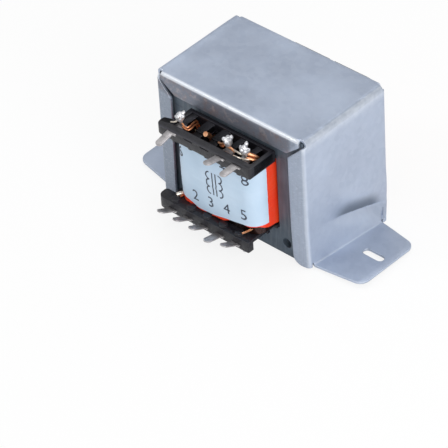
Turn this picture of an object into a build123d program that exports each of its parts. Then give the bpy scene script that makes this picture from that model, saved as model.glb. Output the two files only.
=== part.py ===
"""Speaker line transformer: a laminated core and a wound bobbin held in a folded sheet frame.

Lengths are in millimetres. The origin is the middle of the foot plane, +X runs to the right along
the front, +Y to the back and +Z up. The solder tags leave the front, towards -Y.
"""
from build123d import *
from math import cos, radians, sin, tan
import os

# Core: E and I laminations, stacked along Y in packets that are turned over one by one
core_width = 66.0
tongue_width = 20.2
window_width = 10.0
window_height = 33.0
yoke_height = 11.0
stack_depth = 42.0
packet_count = 5
core_hole_radius = 2.0
core_hole_from_side = 9.6

# Frame: one folded sheet with a channel section, turned-in lips and two feet
sheet = 1.0
side_clearance = 0.45
top_clearance = 0.45
lip_clearance = 0.4
lip_fold_radius = 0.7
shoulder_radius = 1.5
foot_fold_radius = 0.7
top_lip_width = 7.7
side_lip_width = 7.2
side_lip_lean = 8.0
lip_corner_radius = 4.0
mitre_gap = 0.9
foot_length = 20.6
foot_root_width = 37.0
foot_tip_width = 28.0
foot_corner_radius = 5.0
fold_relief = 0.8
slot_from_plate = 12.3
slot_length = 10.0
slot_width = 3.5

# Bobbin: one moulding with a tube, two end flanges, terminal trays in front and troughs behind
bobbin_clearance = 0.25
tube_wall = 1.2
flange_wall = 1.2
tray_front_overhang = 4.1
tray_back_clearance = 1.3
tray_height = 4.65
tray_past_tags = 6.1
neck_past_tags = 3.1
upper_tray_shift = -0.6
lower_tray_shift = -3.2
upper_ear_length = 5.3
lower_ear_length = 3.0
tray_front_wall = 2.6
tray_back_wall = 1.3
tray_end_wall = 1.6
tray_corner_radius = 3.0
tray_edge_radius = 0.6
ear_depth = 5.2
rib_width = 2.6
wide_rib_width = 3.6
wide_ribs = (2, 3)
rib_drop = 0.9
floor_slot_from_tag = 3.2
floor_slot_width = 2.2
floor_slot_length = 6.0
floor_slot_inset = 0.6
boss_radius = 1.7
boss_inset = 0.4
boss_height = 1.0
trough_overhang = 1.0
trough_height = 2.65
trough_wall = 1.4
trough_corner_radius = 3.5
trough_notch_width = 2.4
trough_notch_depth = 0.8

# Winding: nested closed rings round the tube
coil_side_clearance = 0.25
coil_front = 31.9
coil_corner_radius = 5.5
winding_clearance = 0.15
first_winding_depth = 3.6
film_thickness = 0.3
tape_thickness = 0.35
ring_gap = 0.05
inner_corner_radius = 1.0
label_thickness = 0.12
label_top_margin = 0.8
label_bottom_margin = 2.7
label_side_margin = 0.6
label_slant = 6.0

# Solder tags, their joints and the leads from the winding
tag_count = 5
tag_row_margin = 8.4
tag_thickness = 0.5
tag_shoulder_width = 4.2
tag_blade_width = 3.1
tag_blade_length = 6.8
tag_shoulder_reach = 0.7
tag_level = 2.95
tag_inner_reach = 6.0
tag_clearance = 0.05
post_width = 1.3
post_height = 5.2
post_from_front = 5.0
joint_radius = 1.55
joint_height = 2.0
joint_taper = 18.0
joint_sides = 6
joint_spike_radius = 0.8
joint_spike_length = 2.4
joint_spike_taper = 14.0
joint_spikes = ((20, 25), (140, 55), (265, 45))
joint_turn = 37
lead_radius = 0.45
lead_sides = 6
lead_bend_radius = 1.2
lead_rise = 1.4
spare_lead_slot = 2
spare_lead_reach = 2.2

# Which tag positions are filled and how far each blade is bent away from the coil, in degrees
blade_lean = 27.0
slight_blade_lean = 12.0
upper_tag_lifts = {1: -slight_blade_lean, 4: slight_blade_lean, 5: 0.0}
lower_tag_lifts = {1: -blade_lean, 2: -blade_lean, 3: -blade_lean, 4: -slight_blade_lean, 5: -blade_lean}

# The floor slot that each tag's lead comes through
upper_lead_slots = {1: 1, 4: 3, 5: 5}
lower_lead_slots = {1: 1, 2: 2, 3: 3, 4: 4, 5: 5}

# Places that follow from the sizes above
core_height = window_height + 2 * yoke_height
core_middle = core_height / 2
window_top = core_height - yoke_height
core_face = stack_depth / 2
packet_depth = stack_depth / packet_count
frame_x = core_width / 2 + side_clearance + sheet
frame_y = core_face + lip_clearance + sheet
frame_z = core_height + top_clearance + sheet
lip_fold = lip_fold_radius + sheet
shoulder = shoulder_radius + sheet
foot_fold = foot_fold_radius + sheet
window_half_width = tongue_width / 2 + window_width
bobbin_half_width = window_half_width - bobbin_clearance
coil_half_width = bobbin_half_width - coil_side_clearance
trough_half_width = coil_half_width + trough_overhang
trough_back = coil_front + trough_overhang
tray_front = coil_front + tray_front_overhang
tag_pitch = (2 * coil_half_width - tag_row_margin) / (tag_count - 1)
tag_row_half = tag_pitch * (tag_count - 1) / 2
flange_inner = window_top - bobbin_clearance - flange_wall
flange_outer = flange_inner + flange_wall
tray_top = flange_inner + tray_height
trough_top = flange_inner + trough_height
tray_back = core_face + tray_back_clearance
tube_x = tongue_width / 2 + bobbin_clearance + tube_wall
tube_y = core_face + bobbin_clearance + tube_wall
winding_high = flange_inner - winding_clearance
winding_low = core_height - winding_high
tag_bottom = flange_inner + tag_level
tray_back_inside = -tray_back - tray_back_wall
floor_slot_y = tray_back_inside - floor_slot_inset - floor_slot_length / 2
post_y = -tray_front + post_from_front
post_top = tag_bottom + tag_thickness + post_height
lead_arch = tray_top + lead_rise
joint_z = (post_top + lead_arch) / 2

# The two trays as they are drawn, both at the top: where the middle lies, which way the tags count and
# how long the ear is. The lower one is then turned over, which swaps its left and right.
upper_tray = {"middle": upper_tray_shift, "way": 1, "ear": upper_ear_length}
lower_tray = {"middle": -lower_tray_shift, "way": -1, "ear": lower_ear_length}


def block(x_range, y_range, z_range):
    """A box between two values on each axis."""
    lows, highs = zip(*(sorted(r) for r in (x_range, y_range, z_range)))
    size = [high - low for low, high in zip(lows, highs)]
    middle = [(high + low) / 2 for low, high in zip(lows, highs)]
    return Pos(*middle) * Box(*size)


def rounded(points, radii):
    """A closed outline through the points, each corner rounded to its radius."""
    return make_face(FilletPolyline(*points, radius=radii, close=True))


def from_above(outline, low, high):
    """An outline in X and Y, pulled up from one height to another."""
    return extrude(Plane.XY.offset(low) * outline, amount=high - low)


def from_front(outline, near, far):
    """An outline in X and Z, pulled back from one depth to another."""
    return extrude(Plane.XZ.offset(-far) * outline, amount=far - near)


def from_side(outline, left, right):
    """An outline in Y and Z, pulled from one side to another."""
    return extrude(Plane.YZ.offset(left) * outline, amount=right - left)


def turned_over(piece):
    """The piece turned half a turn about the line along Y through the core's middle."""
    return Pos(0, 0, core_middle) * Rot(0, 180, 0) * Pos(0, 0, -core_middle) * piece


def make_laminations():
    """Packets of E and I sheets; each packet has its yoke at the other end from its neighbours."""
    half = core_width / 2
    window_x = tongue_width / 2 + window_width / 2
    hole_x = half - core_hole_from_side
    window = Pos(0, yoke_height + window_height / 2) * Rectangle(window_width, window_height)
    e_shape = Pos(0, window_top / 2) * Rectangle(core_width, window_top)
    i_shape = Pos(0, window_top + yoke_height / 2) * Rectangle(core_width, yoke_height)
    for side in (-1, 1):
        e_shape -= Pos(side * window_x, 0) * window
        e_shape -= Pos(side * hole_x, yoke_height / 2) * Circle(core_hole_radius)
        i_shape -= Pos(side * hole_x, core_height - yoke_height / 2) * Circle(core_hole_radius)
    e_packets = []
    i_packets = []
    for index in range(packet_count):
        near = -core_face + index * packet_depth
        e_packet = from_front(e_shape, near, near + packet_depth)
        i_packet = from_front(i_shape, near, near + packet_depth)
        if index % 2:
            e_packet = turned_over(e_packet)
            i_packet = turned_over(i_packet)
        e_packets.append(e_packet)
        i_packets.append(i_packet)
    return e_packets, i_packets


def side_lip(side, end):
    """A lip along a side plate's edge, leaning off the core's face, with a mitred top end."""
    centre_x = frame_x - lip_fold
    centre_y = frame_y - lip_fold
    middle_radius = lip_fold_radius + sheet / 2
    lean = radians(side_lip_lean)
    corner_x = centre_x + middle_radius
    corner_y = centre_y + middle_radius * tan((radians(90) - lean) / 2)
    path = FilletPolyline(
        (corner_x, centre_y - lip_fold),
        (corner_x, corner_y),
        (corner_x - side_lip_width * cos(lean), corner_y + side_lip_width * sin(lean)),
        radius=middle_radius)
    lip = from_above(trace(path, sheet), 0, frame_z)
    inner = frame_x - side_lip_width
    top = frame_z - shoulder
    outline = rounded(
        [(inner, 0), (frame_x, 0), (frame_x, top), (frame_x - shoulder + mitre_gap, top),
         (inner, frame_z - side_lip_width - mitre_gap)],
        [lip_corner_radius, 0, 0, 0, 0])
    lip &= from_front(outline, 0, frame_y + side_lip_width)
    if end < 0:
        lip = mirror(lip, Plane.XZ)
    if side < 0:
        lip = mirror(lip, Plane.YZ)
    return lip


def top_lip(end):
    """A lip along the top plate's edge, flat against the core's face, with mitred ends."""
    middle_radius = lip_fold_radius + sheet / 2
    path = FilletPolyline(
        (frame_y - 2 * lip_fold, frame_z - sheet / 2),
        (frame_y - sheet / 2, frame_z - sheet / 2),
        (frame_y - sheet / 2, frame_z - top_lip_width),
        radius=middle_radius)
    end_x = frame_x - shoulder
    lip = from_side(trace(path, sheet), -end_x, end_x)
    bottom = frame_z - top_lip_width
    bottom_x = frame_x - top_lip_width - mitre_gap / 2
    turn_z = frame_z - shoulder - mitre_gap / 2
    outline = Polygon(
        (-bottom_x, bottom), (bottom_x, bottom), (end_x, turn_z), (end_x, frame_z),
        (-end_x, frame_z), (-end_x, turn_z), align=None)
    lip &= from_front(outline, 0, frame_y)
    if end < 0:
        lip = mirror(lip, Plane.XZ)
    return lip


def foot(side):
    """A foot folded outwards from a side plate, tapered, round cornered and slotted."""
    middle_radius = foot_fold_radius + sheet / 2
    fold_path = FilletPolyline(
        (frame_x - sheet / 2, 2 * foot_fold),
        (frame_x - sheet / 2, sheet / 2),
        (frame_x + foot_length, sheet / 2),
        radius=middle_radius)
    root = foot_root_width / 2
    tip = foot_tip_width / 2
    piece = from_front(trace(fold_path, sheet), -root, root)
    outline = rounded(
        [(frame_x - sheet, -root), (frame_x + foot_fold, -root), (frame_x + foot_length, -tip),
         (frame_x + foot_length, tip), (frame_x + foot_fold, root), (frame_x - sheet, root)],
        [0, 0, foot_corner_radius, foot_corner_radius, 0, 0])
    piece &= from_above(outline, 0, 2 * foot_fold)
    slot = Pos(frame_x + slot_from_plate, 0) * SlotOverall(slot_length, slot_width)
    piece -= from_above(slot, -sheet, 2 * sheet)
    if side < 0:
        piece = mirror(piece, Plane.YZ)
    return piece


def make_frame():
    """The folded frame: top and side plates, four side lips, two top lips and two feet."""
    plate_depth = frame_y - lip_fold
    channel_path = FilletPolyline(
        (-frame_x + sheet / 2, 0), (-frame_x + sheet / 2, frame_z - sheet / 2),
        (frame_x - sheet / 2, frame_z - sheet / 2), (frame_x - sheet / 2, 0),
        radius=shoulder_radius + sheet / 2)
    frame = from_front(trace(channel_path, sheet), -plate_depth, plate_depth)
    fold_half = foot_root_width / 2 + fold_relief
    frame -= block((-frame_x - sheet, frame_x + sheet), (-fold_half, fold_half), (-sheet, foot_fold))
    for end in (-1, 1):
        frame += top_lip(end)
        for side in (-1, 1):
            frame += side_lip(side, end)
    for side in (-1, 1):
        frame += foot(side)
    return frame


def tag_x(number, tray):
    """The middle of a tag along X. Tags are counted from the tray's ear, which lies at its near end."""
    return tray["middle"] + tray["way"] * (number - (tag_count + 1) / 2) * tag_pitch


def floor_slot_x(number, tray):
    """The middle of the floor slot in the compartment past a tag."""
    return tag_x(number, tray) + tray["way"] * floor_slot_from_tag


def tag_cuts(tray):
    """Slots through the front wall for the tags, and open wells for their posts and solder joints."""
    half = tag_shoulder_width / 2 + tag_clearance
    well = joint_radius + lead_radius
    low = tag_bottom - tag_clearance
    high = tag_bottom + tag_thickness + tag_clearance
    back = -tray_front + tag_inner_reach + tag_clearance
    cuts = []
    for number in range(1, tag_count + 1):
        x = tag_x(number, tray)
        cuts.append(block((x - half, x + half), (-tray_front - sheet, back), (low, high)))
        cuts.append(block((x - well, x + well), (post_y - well, post_y + well), (high, tray_top + sheet)))
    return cuts


def terminal_tray(tray):
    """A flange's front part: floor, walls, an ear at one end and ribs that carry the tags."""
    way = tray["way"]
    plain_end = tray["middle"] + way * (tag_row_half + tray_past_tags)
    neck = tray["middle"] - way * (tag_row_half + neck_past_tags)
    ear_end = neck - way * tray["ear"]
    front_inside = -tray_front + tray_front_wall
    outline = rounded(
        [(plain_end, -tray_back), (plain_end, -tray_front), (ear_end, -tray_front),
         (ear_end, -tray_front + ear_depth), (neck, -tray_front + ear_depth), (neck, -tray_back)],
        [0, tray_edge_radius, tray_corner_radius, 2 * tray_edge_radius, 0, 0])
    body = from_above(outline, flange_inner, tray_top)
    hollow = block((tag_x(1, tray) - way * rib_width / 2, plain_end - way * tray_end_wall),
                   (front_inside, tray_back_inside), (flange_outer, tray_top + sheet))
    for number in range(1, tag_count + 1):
        half = (wide_rib_width if number in wide_ribs else rib_width) / 2
        x = tag_x(number, tray)
        hollow -= block((x - half, x + half), (front_inside - sheet, tray_back_inside + sheet),
                        (flange_inner, tray_top - rib_drop))
    body -= hollow
    for number in range(1, tag_count + 1):
        slot = Pos(floor_slot_x(number, tray), floor_slot_y) * Rectangle(floor_slot_width, floor_slot_length)
        body -= from_above(slot, flange_inner - sheet, flange_outer + sheet)
        boss = Pos(tag_x(number, tray), -tray_front + boss_inset + boss_radius) * Circle(boss_radius)
        body += from_above(boss, flange_inner - boss_height, flange_inner)
    for cut in tag_cuts(tray):
        body -= cut
    return body


def back_trough():
    """The upper flange's back part: an upstanding rim with a notched middle and a wall by the core."""
    outline = rounded(
        [(-trough_half_width, tray_back), (trough_half_width, tray_back),
         (trough_half_width, trough_back), (-trough_half_width, trough_back)],
        [0, 0, trough_corner_radius, trough_corner_radius])
    trough = from_above(outline, flange_inner, trough_top)
    inside = rounded(
        [(-trough_half_width + trough_wall, tray_back + trough_wall),
         (trough_half_width - trough_wall, tray_back + trough_wall),
         (trough_half_width - trough_wall, trough_back - trough_wall),
         (-trough_half_width + trough_wall, trough_back - trough_wall)],
        [0, 0, trough_corner_radius - trough_wall, trough_corner_radius - trough_wall])
    trough -= from_above(inside, flange_outer, trough_top + sheet)
    rib = trough_notch_width / 2
    rib_top = trough_top - trough_notch_depth
    trough += block((-rib, rib), (tray_back + trough_wall, trough_back - trough_wall),
                    (flange_outer, rib_top))
    trough -= block((-rib, rib), (trough_back - 2 * trough_wall, trough_back + sheet),
                    (rib_top, trough_top + sheet))
    return trough


def bobbin_end(tray):
    """One end of the bobbin: the flange inside the windows, its tray in front and trough behind."""
    plate = from_above(Rectangle(2 * bobbin_half_width, 2 * tray_back), flange_inner, flange_outer)
    return plate + terminal_tray(tray) + back_trough()


def make_bobbin():
    """The whole moulding, with the tongue's passage through both ends."""
    low = core_height - flange_outer
    bobbin = bobbin_end(upper_tray) + turned_over(bobbin_end(lower_tray))
    bobbin += block((-tube_x, tube_x), (-tube_y, tube_y), (low, flange_outer))
    hole_x = tube_x - tube_wall
    hole_y = tube_y - tube_wall
    bobbin -= block((-hole_x, hole_x), (-hole_y, hole_y), (low - sheet, flange_outer + sheet))
    return bobbin


def ring_outline(share, inset=0.0):
    """A winding's outline between the tube, at share 0, and the finished coil, at share 1."""
    half = tube_x + (coil_half_width - tube_x) * share - inset
    depth = tube_y + (coil_front - tube_y) * share - inset
    corner = inner_corner_radius + (coil_corner_radius - inner_corner_radius) * share - inset
    return RectangleRounded(2 * half, 2 * depth, corner)


def ring(outer, inner):
    """A closed ring between two outlines, over the winding's whole height."""
    return from_above(outer - inner, winding_low, winding_high)


def make_winding():
    """From the tube outwards: first winding, film, second winding and the tape round them."""
    full = coil_half_width - tube_x
    first_share = first_winding_depth / full
    film_share = (first_winding_depth + film_thickness) / full
    tube_outline = RectangleRounded(2 * (tube_x + ring_gap), 2 * (tube_y + ring_gap), ring_gap)
    first = ring(ring_outline(first_share), tube_outline)
    film = ring(ring_outline(film_share), ring_outline(first_share, -ring_gap))
    second_outline = ring_outline(1.0, tape_thickness)
    second = ring(second_outline, ring_outline(film_share, -ring_gap))
    tape = ring(ring_outline(1.0), second_outline)
    return first, film, second, tape


def make_label():
    """A paper label wrapped over the front of the tape and round both its corners, cut at a slant below."""
    band = ring_outline(1.0, -label_thickness) - ring_outline(1.0)
    half = coil_half_width - label_side_margin
    front_part = Pos(0, -coil_front) * Rectangle(2 * half, 2 * coil_corner_radius)
    wrap = from_above(band & front_part, winding_low, winding_high - label_top_margin)
    middle_low = winding_low + label_bottom_margin
    fall = coil_half_width * tan(radians(label_slant))
    below = Polygon((-coil_half_width, winding_low), (coil_half_width, winding_low),
                    (coil_half_width, middle_low + fall), (-coil_half_width, middle_low - fall), align=None)
    return wrap - from_front(below, -coil_front - sheet, 0)


def tag(number, tray, lift):
    """A stamped tag: a blade outside, a shoulder through the front wall and a folded-up post inside."""
    x = tag_x(number, tray)
    half = tag_shoulder_width / 2
    blade_x = x - tray["way"] * (tag_shoulder_width - tag_blade_width) / 2
    root_y = -tray_front - tag_shoulder_reach
    top = tag_bottom + tag_thickness
    strip = block((x - half, x + half), (root_y, -tray_front + tag_inner_reach), (tag_bottom, top))
    blade_outline = Pos(0, -tag_blade_length / 2 + tag_blade_width / 4) * SlotOverall(
        tag_blade_length + tag_blade_width / 2, tag_blade_width, rotation=90)
    blade = extrude(blade_outline, amount=tag_thickness / 2, both=True)
    blade &= block((-half, half), (-2 * tag_blade_length, 0), (-tag_thickness, tag_thickness))
    root = Pos(blade_x, root_y, tag_bottom + tag_thickness / 2)
    knuckle = root * Rot(0, 90, 0) * Cylinder(tag_thickness / 2, tag_blade_width)
    post = block((x - post_width / 2, x + post_width / 2),
                 (post_y - tag_thickness / 2, post_y + tag_thickness / 2), (tag_bottom, post_top))
    return strip + root * Rot(-lift, 0, 0) * blade + knuckle + post


def lead(slot_number, tag_number, tray):
    """A winding's end: out of the coil, up through a floor slot and over to a tag's post."""
    slot_x = floor_slot_x(slot_number, tray)
    post_side = tag_x(tag_number, tray)
    post_side += (post_width / 2 + lead_radius) * (1 if slot_x > post_side else -1)
    start = Vector(slot_x, floor_slot_y, winding_high)
    top = Vector(slot_x, floor_slot_y, lead_arch)
    path = FilletPolyline(start, top, (post_side, post_y, lead_arch), radius=lead_bend_radius)
    return sweep(Plane(start, z_dir=(0, 0, 1)) * RegularPolygon(lead_radius, lead_sides), path=path)


def spare_lead(slot_number, tray):
    """A winding's end that reaches no tag: it stands up through its floor slot and leans forward."""
    slot_x = floor_slot_x(slot_number, tray)
    start = Vector(slot_x, floor_slot_y, winding_high)
    bend = Vector(slot_x, floor_slot_y, tray_top - rib_drop)
    end = Vector(slot_x, floor_slot_y - spare_lead_reach, tray_top)
    path = FilletPolyline(start, bend, end, radius=lead_bend_radius)
    return sweep(Plane(start, z_dir=(0, 0, 1)) * RegularPolygon(lead_radius, lead_sides), path=path)


def solder_joint(number, tray, others):
    """A peaked lump of solder round a post's top, with room for the pieces that it holds."""
    upper_half = extrude(RegularPolygon(joint_radius, joint_sides), amount=joint_height, taper=joint_taper)
    lump = upper_half + mirror(upper_half, Plane.XY)
    spike = extrude(RegularPolygon(joint_spike_radius, joint_sides), amount=joint_spike_length,
                    taper=joint_spike_taper)
    for turn, tilt in joint_spikes:
        lump += Rot(0, 0, turn + joint_turn * number) * Rot(0, tilt, 0) * spike
    lump = Pos(tag_x(number, tray), post_y, joint_z) * lump
    for other in others:
        lump -= other
    return lump


def add_terminals(nodes, name, tray, lifts, lead_slots, place):
    """Adds one tray's tags, leads and solder joints to the nodes, each moved to its place."""
    for number, lift in lifts.items():
        metal = tag(number, tray, lift)
        wire = lead(lead_slots[number], number, tray)
        joint = solder_joint(number, tray, [metal, wire])
        nodes[f"{name}_tag_{number}"] = place(metal)
        nodes[f"{name}_lead_{number}"] = place(wire)
        nodes[f"{name}_solder_{number}"] = place(joint)


def main():
    nodes = {}
    nodes["mounting_frame"] = make_frame()
    e_packets, i_packets = make_laminations()
    nodes["e_laminations"] = Compound(children=[p.solid() for p in e_packets])
    nodes["i_laminations"] = Compound(children=[p.solid() for p in i_packets])
    nodes["bobbin"] = make_bobbin()
    first, film, second, tape = make_winding()
    nodes["primary_winding"] = first
    nodes["interlayer_film"] = film
    nodes["secondary_winding"] = second
    nodes["winding_tape"] = tape
    nodes["label"] = make_label()
    add_terminals(nodes, "upper", upper_tray, upper_tag_lifts, upper_lead_slots, lambda piece: piece)
    add_terminals(nodes, "lower", lower_tray, lower_tag_lifts, lower_lead_slots, turned_over)
    nodes["spare_lead"] = spare_lead(spare_lead_slot, upper_tray)
    os.makedirs("parts", exist_ok=True)
    for name, shape in nodes.items():
        export_step(shape, f"parts/{name}.step")
        print(name, "volume", round(shape.volume, 1))


main()
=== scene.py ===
"""Speaker line transformer: folded zinc plated frame, sheet core, moulded bobbin and taped coil.

Shapes are worked out in millimetres and turned into metres when a piece is finished. The origin is
the middle of the foot plane, +X runs to the right along the front, +Y to the back and +Z up.
"""
import random
from math import cos, exp, pi, radians, sin, tan

import bmesh
import bpy
from mathutils import Matrix, Vector, noise


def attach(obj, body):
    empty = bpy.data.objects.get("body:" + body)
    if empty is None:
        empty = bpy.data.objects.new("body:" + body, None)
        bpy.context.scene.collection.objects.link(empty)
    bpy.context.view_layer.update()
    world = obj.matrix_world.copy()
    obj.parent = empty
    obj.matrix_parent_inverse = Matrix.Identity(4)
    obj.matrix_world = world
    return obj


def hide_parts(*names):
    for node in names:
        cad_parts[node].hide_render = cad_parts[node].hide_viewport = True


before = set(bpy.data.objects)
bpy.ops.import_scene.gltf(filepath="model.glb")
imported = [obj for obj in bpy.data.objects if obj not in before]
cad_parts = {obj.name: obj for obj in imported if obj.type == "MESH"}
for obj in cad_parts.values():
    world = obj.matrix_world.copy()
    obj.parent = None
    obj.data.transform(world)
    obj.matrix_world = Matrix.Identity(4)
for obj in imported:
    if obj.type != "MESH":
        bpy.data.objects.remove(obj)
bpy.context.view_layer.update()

MM = 0.001
random.seed(66)

# Frame sizes, as folded. LIP_FOLD, SHOULDER and FOOT_FOLD are outer radii of the bends
SHEET = 1.0
FRAME_X, FRAME_Y, FRAME_Z = 34.45, 22.4, 56.45
LIP_FOLD = 1.7
SHOULDER = 2.5
FOOT_FOLD = 1.7
TOP_LIP, SIDE_LIP, LIP_LEAN = 7.7, 7.2, radians(8)
LIP_CORNER = 4.0
FOOT_LENGTH, FOOT_ROOT, FOOT_TIP = 20.6, 18.5, 14.0
FOOT_CORNER = 4.5
SLOT_OUT, SLOT_HALF_LENGTH, SLOT_HALF_WIDTH = 12.3, 5.0, 1.75
RELIEF = 0.8
RIM_EASE = 0.14
CORE_Z = 55.0
CORE_Y = 21.0


# Shading: expressions of shader nodes, and the materials made with them
class Term:
    """A shader value or vector that takes part in expressions."""

    def __init__(self, finish, socket):
        self.finish = finish
        self.socket = socket

    def math(self, operation, other, clamp=False):
        settings = {"operation": operation, "use_clamp": clamp}
        return self.finish.node("ShaderNodeMath", settings, {0: self, 1: other})

    def __add__(self, other):
        return self.math("ADD", other)

    def __radd__(self, other):
        return self.math("ADD", other)

    def __mul__(self, other):
        return self.math("MULTIPLY", other)

    def __rmul__(self, other):
        return self.math("MULTIPLY", other)

    def clamped(self):
        return self.math("ADD", 0.0, clamp=True)


def socket_name(key):
    """The Principled shader's name for a keyword."""
    return key.replace("_", " ").title().replace("Ior", "IOR")


class Finish:
    """A material under construction: one Principled shader and the nodes that feed it."""

    def __init__(self, name, **constants):
        self.material = bpy.data.materials.new(name)
        self.material.use_nodes = True
        self.tree = self.material.node_tree
        self.shader = self.tree.nodes["Principled BSDF"]
        for key, value in constants.items():
            self.shader.inputs[socket_name(key)].default_value = value
        where = self.tree.nodes.new("ShaderNodeTexCoord")
        self.place = Term(self, where.outputs["Object"])
        self.facing = Term(self, where.outputs["Normal"])

    def node(self, kind, settings, values, out=0):
        """A new node, with numbers or terms at its inputs."""
        made = self.tree.nodes.new(kind)
        for key, value in settings.items():
            setattr(made, key, value)
        for key, value in values.items():
            if isinstance(value, Term):
                self.tree.links.new(value.socket, made.inputs[key])
            else:
                made.inputs[key].default_value = value
        return Term(self, made.outputs[out])

    def stretched(self, x, y, z):
        """Object coordinates multiplied on each axis, in patterns per metre."""
        return self.node("ShaderNodeVectorMath", {"operation": "MULTIPLY"}, {0: self.place, 1: (x, y, z)})

    def axis(self, index):
        """The object coordinate along one axis, in metres."""
        return self.node("ShaderNodeSeparateXYZ", {}, {0: self.place}, out=index)

    def faces(self, index):
        """How far the surface faces along an axis, from -1 to 1."""
        return self.node("ShaderNodeSeparateXYZ", {}, {0: self.facing}, out=index)

    def noise(self, where, scale, detail, roughness):
        """Cloudy noise. The scale is in patterns per unit of the place given."""
        return self.node("ShaderNodeTexNoise", {}, {"Vector": where, "Scale": scale, "Detail": detail,
                                                    "Roughness": roughness})

    def cells(self, scale):
        """One random value for each grain of a pattern of grains."""
        colour = self.node("ShaderNodeTexVoronoi", {}, {"Vector": self.place, "Scale": scale}, out="Color")
        return self.node("ShaderNodeSeparateColor", {}, {0: colour})

    def band(self, value, low, high, to_low=0.0, to_high=1.0):
        """The value eased from one range to another."""
        ranges = {"From Min": low, "From Max": high, "To Min": to_low, "To Max": to_high}
        settings = {"interpolation_type": "SMOOTHSTEP"}
        return self.node("ShaderNodeMapRange", settings, {"Value": value, **ranges})

    def blend(self, factor, first, second):
        """A colour between two colours."""
        made = self.tree.nodes.new("ShaderNodeMix")
        made.data_type = "RGBA"
        for index, value in ((0, factor), (6, first), (7, second)):
            if isinstance(value, Term):
                self.tree.links.new(value.socket, made.inputs[index])
            else:
                made.inputs[index].default_value = (*value, 1.0) if index else value
        return Term(self, made.outputs[2])

    def set(self, **links):
        """Links terms to inputs of the shader."""
        for key, value in links.items():
            self.tree.links.new(value.socket, self.shader.inputs[socket_name(key)])

    def bump(self, height, strength, distance):
        """Links a bump to the shader and gives the finished material."""
        made = self.node("ShaderNodeBump", {}, {"Height": height, "Strength": strength, "Distance": distance})
        self.tree.links.new(made.socket, self.shader.inputs["Normal"])
        return self.material


def zinc_finish():
    """Zinc plating: grained, stained on the upper front lip, with painted shade on the front lips and the
    dented right side and painted highlights on the bends.
    """
    f = Finish("zinc_sheet", metallic=0.5)
    cloud = f.noise(f.place, 45, 4, 0.55)
    speck = f.noise(f.place, 900, 3, 0.6)
    grain = f.cells(520)
    streak = f.noise(f.stretched(1900, 1900, 130), 1.0, 3, 0.6)
    tone = f.blend(f.band(cloud, 0.3, 0.72), (0.385, 0.445, 0.565), (0.465, 0.535, 0.665))
    tone = f.blend(grain * 0.22, tone, (0.57, 0.63, 0.74))
    tone = f.blend(f.band(streak, 0.6, 0.8) * 0.2, tone, (0.30, 0.345, 0.43))
    # The front lips carry painted shade that deepens to the left, are streaked and spangled, and the upper
    # one is stained
    lip = f.band(f.axis(1), -0.0216, -0.0223)
    upper = lip * f.band(f.axis(2), 0.0475, 0.0495) * f.band(f.axis(0), 0.0290, 0.0270)
    tone = f.blend(lip * f.band(f.axis(0), 0.028, -0.028, 0.3, 0.75), tone, (0.20, 0.24, 0.30))
    tone = f.blend(lip * f.band(streak, 0.45, 0.7) * 0.4, tone, (0.30, 0.34, 0.41))
    spangle = f.noise(f.stretched(700, 700, 2400), 1.0, 3, 0.6)
    tone = f.blend(lip * f.band(spangle, 0.5, 0.72) * 0.4, tone, (0.60, 0.66, 0.76))
    tone = f.blend(upper * 0.6, tone, (0.17, 0.175, 0.215))
    stain = f.band(f.noise(f.place, 230, 5, 0.7), 0.5, 0.66)
    tone = f.blend(upper * stain * 0.55, tone, (0.27, 0.20, 0.19))
    wear_and_sheen = f.band(f.noise(f.place, 330, 4, 0.6), 0.56, 0.7)
    tone = f.blend(upper * wear_and_sheen * 0.4, tone, (0.54, 0.47, 0.47))
    # Painted shade: where the dented right side looks down its colour is darkened, like the dark under the
    # frame mirrored in it
    outer = f.band(f.faces(0), 0.3, 0.7)
    tone = f.blend(outer * f.band(f.faces(2), -0.05, -0.36) * 0.85, tone, (0.13, 0.155, 0.19))
    # Painted highlights brighten the bends and the uneven right shoulder, and painted shade darkens the top
    # along its right bend
    front_bend = f.band(f.faces(1) * f.faces(2), -0.18, -0.42)
    side_bend = f.band(f.faces(1) * f.faces(0), -0.22, -0.45)
    shoulder = f.band(f.faces(0), 0.25, 0.6) * f.band(f.axis(2), 0.0505, 0.0540)
    shoulder = shoulder * f.band(f.noise(f.place, 420, 3, 0.6), 0.3, 0.7, 0.45, 0.9)
    # Painted shade: a darker line on the top beside its right bend
    hollow_shade = f.band(f.axis(0), 0.0325, 0.0334) * f.band(f.axis(0), 0.0352, 0.0342)
    hollow_shade = hollow_shade * f.band(f.axis(2), 0.0535, 0.0545)
    tone = f.blend(hollow_shade * f.band(cloud, 0.3, 0.6, 0.25, 0.6), tone, (0.22, 0.26, 0.32))
    # All the painted bend highlights together
    bend_highlight = (front_bend + side_bend * 0.25 + shoulder * 0.5).clamped()
    tone = f.blend(bend_highlight * 0.8, tone, (0.86, 0.90, 0.96))
    rough = 0.31 + 0.13 * f.band(cloud, 0.3, 0.7) + 0.10 * speck
    f.set(base_color=tone, roughness=rough)
    return f.bump(speck * 0.5 + streak * 0.5, 0.12, 0.0002)


def core_finish():
    """Varnished sheet edges with a little rust."""
    f = Finish("core_sheet", metallic=0.3)
    cloud = f.noise(f.place, 90, 4, 0.55)
    streak = f.noise(f.stretched(700, 700, 60), 1.0, 3, 0.6)
    tone = f.blend(f.band(cloud, 0.3, 0.75), (0.088, 0.118, 0.152), (0.132, 0.172, 0.218))
    tone = f.blend(f.band(streak, 0.45, 0.75) * 0.35, tone, (0.26, 0.28, 0.32))
    rust = f.band(f.noise(f.place, 260, 5, 0.7), 0.63, 0.76)
    tone = f.blend(rust * 0.55, tone, (0.17, 0.085, 0.045))
    f.set(base_color=tone, roughness=0.42 + 0.2 * cloud)
    return f.bump(streak, 0.15, 0.0002)


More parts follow.
